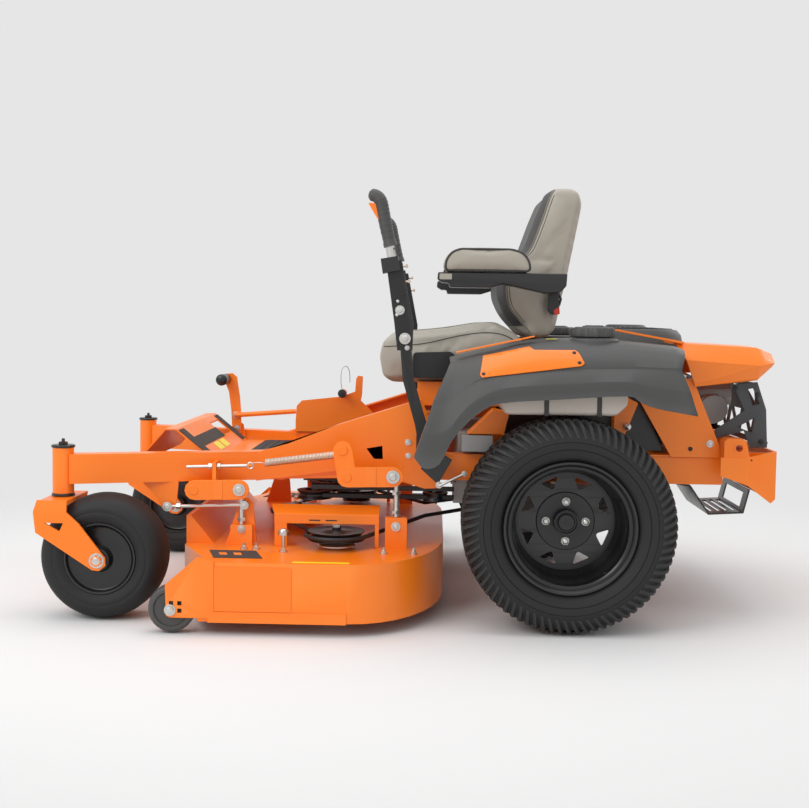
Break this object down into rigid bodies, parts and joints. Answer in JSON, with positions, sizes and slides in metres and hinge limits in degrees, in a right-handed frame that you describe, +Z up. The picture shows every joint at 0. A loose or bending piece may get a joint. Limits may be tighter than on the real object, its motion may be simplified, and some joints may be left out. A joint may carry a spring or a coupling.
{
  "type": "zero turn mower",
  "caption": "Ride-on zero-turn lawn mower with twin lap bars, swivelling front casters, a lifting mid-mounted mower deck and a rear vertical-shaft engine.",
  "frame": {"origin": "on the ground, under the middle of the bounding box", "axes": "+Z up; the mower's front faces -X; the driver's left side faces -Y"},
  "size_m": [1.968, 1.5506, 1.191],
  "materials": {
    "orange_coat": "satin",
    "dark_plastic": "matte",
    "black_steel": "satin",
    "grey_steel": "satin",
    "tank_plastic": "matte",
    "aluminium": "satin",
    "tyre_rubber": "matte",
    "belt_rubber": "matte",
    "vinyl": "satin",
    "zinc": "satin",
    "spring_steel": "satin",
    "red_plastic": "gloss"
  },
  "bodies": {
    "chassis": {"left_frame_rail": "orange_coat", "right_frame_rail": "orange_coat", "foot_platform": "orange_coat", "rear_frame": "orange_coat", "rear_bumper": "orange_coat", "rear_guard": "grey_steel", "step_plate": "black_steel", "rear_cowl": "orange_coat", "left_fender": "dark_plastic", "right_fender": "dark_plastic", "left_fuel_tank": "tank_plastic", "right_fuel_tank": "tank_plastic", "engine_block": "aluminium", "engine_shroud": "dark_plastic", "left_transaxle": "aluminium", "right_transaxle": "aluminium", "height_plate": "orange_coat", "lift_spring": "spring_steel"},
    "left_drive_wheel": {"left_rim": "black_steel", "left_tyre": "tyre_rubber"},
    "left_caster": {"left_caster_fork": "orange_coat"},
    "left_caster_roller": {"left_caster_wheel": "tyre_rubber"},
    "left_cap": {"left_fuel_cap": "dark_plastic"},
    "right_drive_wheel": {"right_rim": "black_steel", "right_tyre": "tyre_rubber"},
    "right_caster": {"right_caster_fork": "orange_coat"},
    "right_caster_roller": {"right_caster_wheel": "tyre_rubber"},
    "right_cap": {"right_fuel_cap": "dark_plastic"},
    "seat_tilter": {"seat_base": "orange_coat"},
    "seat": {"seat_cushion": "vinyl", "seat_back": "vinyl"},
    "left_armrest": {"left_armrest_frame": "black_steel", "left_armrest_pad": "vinyl"},
    "right_armrest": {"right_armrest_frame": "black_steel", "right_armrest_pad": "vinyl"},
    "left_lever_base": {"left_lever_pivot": "black_steel"},
    "left_lever": {"left_lever_arm": "black_steel", "left_lever_grip": "dark_plastic"},
    "right_lever_base": {"right_lever_pivot": "black_steel"},
    "right_lever": {"right_lever_arm": "black_steel", "right_lever_grip": "dark_plastic"},
    "deck": {"deck_shell": "orange_coat", "left_belt_cover": "orange_coat", "right_belt_cover": "orange_coat", "deck_belt": "belt_rubber"},
    "front_lift_shaft": {"front_lift_arms": "orange_coat"},
    "rear_lift_shaft": {"rear_lift_arms": "orange_coat"},
    "pedal": {"lift_pedal": "orange_coat"},
    "link": {"lift_link": "orange_coat"},
    "left_drag_rod": {"left_drag_link": "zinc"},
    "right_drag_rod": {"right_drag_link": "zinc"},
    "height_stop": {"height_pin": "black_steel"},
    "pto": {"pto_knob": "red_plastic"},
    "chute": {"discharge_chute": "dark_plastic"},
    "left_blade": {"left_spindle": "zinc"},
    "center_blade": {"center_spindle": "zinc"},
    "right_blade": {"right_spindle": "zinc"},
    "clutch": {"clutch_pulley": "black_steel"},
    "left_scalp_roller": {"left_roller": "dark_plastic"},
    "right_scalp_roller": {"right_roller": "dark_plastic"}
  },
  "joints": [
    {"name": "left_wheel_spin", "type": "hinge", "parent": "chassis", "child": "left_drive_wheel", "pos_m": [0.405, -0.6113, 0.277], "axis": [0, 1, 0], "continuous": true},
    {"name": "left_caster_swivel", "type": "hinge", "parent": "chassis", "child": "left_caster", "pos_m": [-0.933, -0.5863, 0.3], "axis": [0, 0, 1], "continuous": true},
    {"name": "left_caster_spin", "type": "hinge", "parent": "left_caster", "child": "left_caster_roller", "pos_m": [-0.818, -0.5863, 0.165], "axis": [0, 1, 0], "continuous": true},
    {"name": "left_fuel_cap_turn", "type": "hinge", "parent": "chassis", "child": "left_cap", "pos_m": [0.472, -0.5613, 0.7615], "axis": [0, 0, 1], "range_deg": [0, 120]},
    {"name": "right_wheel_spin", "type": "hinge", "parent": "chassis", "child": "right_drive_wheel", "pos_m": [0.405, 0.3887, 0.277], "axis": [0, 1, 0], "continuous": true},
    {"name": "right_caster_swivel", "type": "hinge", "parent": "chassis", "child": "right_caster", "pos_m": [-0.933, 0.3637, 0.3], "axis": [0, 0, 1], "continuous": true},
    {"name": "right_caster_spin", "type": "hinge", "parent": "right_caster", "child": "right_caster_roller", "pos_m": [-0.818, 0.3637, 0.165], "axis": [0, 1, 0], "continuous": true},
    {"name": "right_fuel_cap_turn", "type": "hinge", "parent": "chassis", "child": "right_cap", "pos_m": [0.472, 0.3387, 0.7615], "axis": [0, 0, 1], "range_deg": [0, 120]},
    {"name": "seat_tilt", "type": "hinge", "parent": "chassis", "child": "seat_tilter", "pos_m": [0, -0.1113, 0.56], "axis": [0, -1, 0], "range_deg": [0, 60]},
    {"name": "seat_slide", "type": "slide", "parent": "seat_tilter", "child": "seat", "axis": [1, 0, 0], "range_m": [-0.05, 0.05]},
    {"name": "left_armrest_flip", "type": "hinge", "parent": "seat", "child": "left_armrest", "pos_m": [0.38, -0.3813, 0.912], "axis": [0, 1, 0], "range_deg": [0, 90]},
    {"name": "right_armrest_flip", "type": "hinge", "parent": "seat", "child": "right_armrest", "pos_m": [0.38, 0.1587, 0.912], "axis": [0, 1, 0], "range_deg": [0, 90]},
    {"name": "left_lever_fore_aft", "type": "hinge", "parent": "chassis", "child": "left_lever_base", "pos_m": [0.03, -0.4813, 0.44], "axis": [0, -1, 0], "range_deg": [-12, 15]},
    {"name": "left_lever_swing", "type": "hinge", "parent": "left_lever_base", "child": "left_lever", "pos_m": [0.05, -0.5158, 0.472], "axis": [1, 0, 0], "range_deg": [0, 25]},
    {"name": "right_lever_fore_aft", "type": "hinge", "parent": "chassis", "child": "right_lever_base", "pos_m": [0.03, 0.2587, 0.44], "axis": [0, -1, 0], "range_deg": [-12, 15]},
    {"name": "right_lever_swing", "type": "hinge", "parent": "right_lever_base", "child": "right_lever", "pos_m": [0.05, 0.2932, 0.472], "axis": [-1, 0, 0], "range_deg": [0, 25]},
    {"name": "deck_lift", "type": "slide", "parent": "chassis", "child": "deck", "axis": [0, 0, 1], "range_m": [0, 0.055], "deforming": ["deck_belt"]},
    {"name": "front_lift", "type": "hinge", "parent": "chassis", "child": "front_lift_shaft", "pos_m": [-0.589, -0.1113, 0.336], "axis": [0, -1, 0], "range_deg": [0, 27.5]},
    {"name": "rear_lift", "type": "hinge", "parent": "chassis", "child": "rear_lift_shaft", "pos_m": [-0.178, -0.1113, 0.378], "axis": [0, -1, 0], "range_deg": [0, 27.5], "deforming": ["lift_spring"]},
    {"name": "pedal_push", "type": "hinge", "parent": "chassis", "child": "pedal", "pos_m": [-0.599, 0.2047, 0.439], "axis": [0, -1, 0], "range_deg": [0, 22.5]},
    {"name": "link_push", "type": "slide", "parent": "chassis", "child": "link", "axis": [-1, 0, 0], "range_m": [0, 0.0165]},
    {"name": "left_drag", "type": "hinge", "parent": "chassis", "child": "left_drag_rod", "pos_m": [-0.664, -0.5371, 0.289], "axis": [0, -1, 0], "range_deg": [0, 15.5]},
    {"name": "right_drag", "type": "hinge", "parent": "chassis", "child": "right_drag_rod", "pos_m": [-0.664, 0.3145, 0.289], "axis": [0, -1, 0], "range_deg": [0, 15.5]},
    {"name": "height_pin_pull", "type": "slide", "parent": "chassis", "child": "height_stop", "axis": [0, -1, 0], "range_m": [0, 0.03]},
    {"name": "pto_pull", "type": "slide", "parent": "chassis", "child": "pto", "axis": [0, 0, 1], "range_m": [0, 0.015]},
    {"name": "chute_lift", "type": "hinge", "parent": "deck", "child": "chute", "pos_m": [-0.144, 0.5627, 0.176], "axis": [1, 0, 0], "range_deg": [0, 75]},
    {"name": "left_blade_spin", "type": "hinge", "parent": "deck", "child": "left_blade", "pos_m": [-0.206, -0.5313, 0.219], "axis": [0, 0, 1], "continuous": true},
    {"name": "center_blade_spin", "type": "hinge", "parent": "deck", "child": "center_blade", "pos_m": [-0.355, -0.1113, 0.219], "axis": [0, 0, 1], "continuous": true},
    {"name": "right_blade_spin", "type": "hinge", "parent": "deck", "child": "right_blade", "pos_m": [-0.206, 0.3087, 0.219], "axis": [0, 0, 1], "continuous": true},
    {"name": "clutch_spin", "type": "hinge", "parent": "chassis", "child": "clutch", "pos_m": [0.51, -0.1113, 0.312], "axis": [0, 0, 1], "continuous": true},
    {"name": "left_roller_spin", "type": "hinge", "parent": "deck", "child": "left_scalp_roller", "pos_m": [-0.605, -0.7433, 0.0625], "axis": [0, 1, 0], "continuous": true},
    {"name": "right_roller_spin", "type": "hinge", "parent": "deck", "child": "right_scalp_roller", "pos_m": [-0.605, 0.5207, 0.0625], "axis": [0, 1, 0], "continuous": true}
  ],
  "couplings": [
    {"joint": "front_lift", "follows": "deck_lift", "rad_per_m": 8.58},
    {"joint": "rear_lift", "follows": "deck_lift", "rad_per_m": 8.36},
    {"joint": "pedal_push", "follows": "deck_lift", "rad_per_m": 7},
    {"joint": "link_push", "follows": "deck_lift", "ratio": 0.29},
    {"joint": "left_drag", "follows": "deck_lift", "rad_per_m": 4.84},
    {"joint": "right_drag", "follows": "deck_lift", "rad_per_m": 4.84},
    {"joint": "center_blade_spin", "follows": "left_blade_spin", "ratio": 1},
    {"joint": "right_blade_spin", "follows": "left_blade_spin", "ratio": 1},
    {"joint": "clutch_spin", "follows": "left_blade_spin", "ratio": 1.22}
  ]
}
